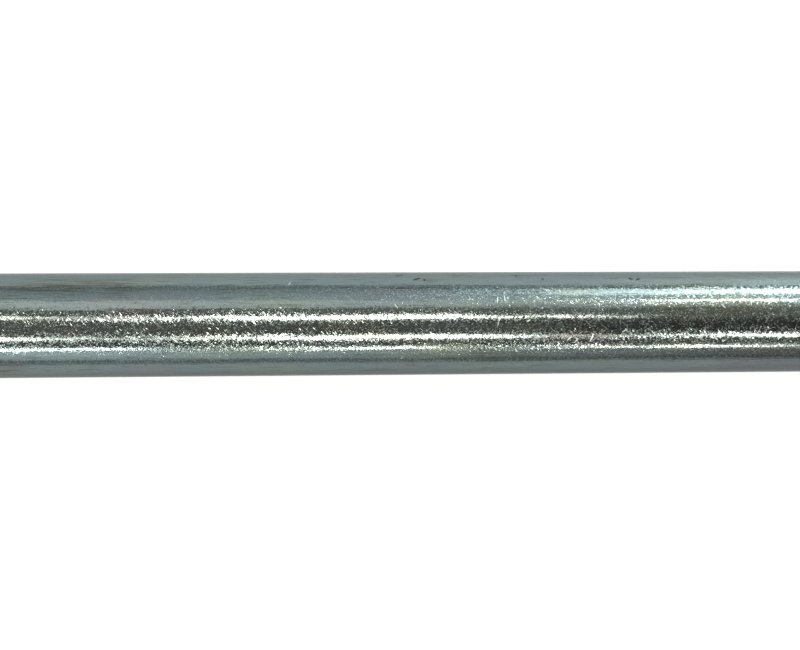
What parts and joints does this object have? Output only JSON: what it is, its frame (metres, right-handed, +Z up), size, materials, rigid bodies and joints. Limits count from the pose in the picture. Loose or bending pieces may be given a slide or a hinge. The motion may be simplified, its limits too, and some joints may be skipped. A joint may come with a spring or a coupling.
{
  "type": "swingarm axle",
  "caption": "Long zinc-plated axle bolt with a plain hexagon head, a smooth round shank and a threaded end.",
  "frame": {"origin": "on the axle's axis, in the bearing face under the head", "axes": "+X along the axis, from the head towards the threaded tip; +Z up as the axle lies, with a flat of the hexagon downwards"},
  "size_m": [0.2588, 0.0254, 0.022],
  "materials": {
    "zinc_plated_steel": "zinc plated, blue-grey, finely grained"
  },
  "bodies": {
    "root": {"swingarm_axle": "zinc_plated_steel"}
  },
  "joints": []
}
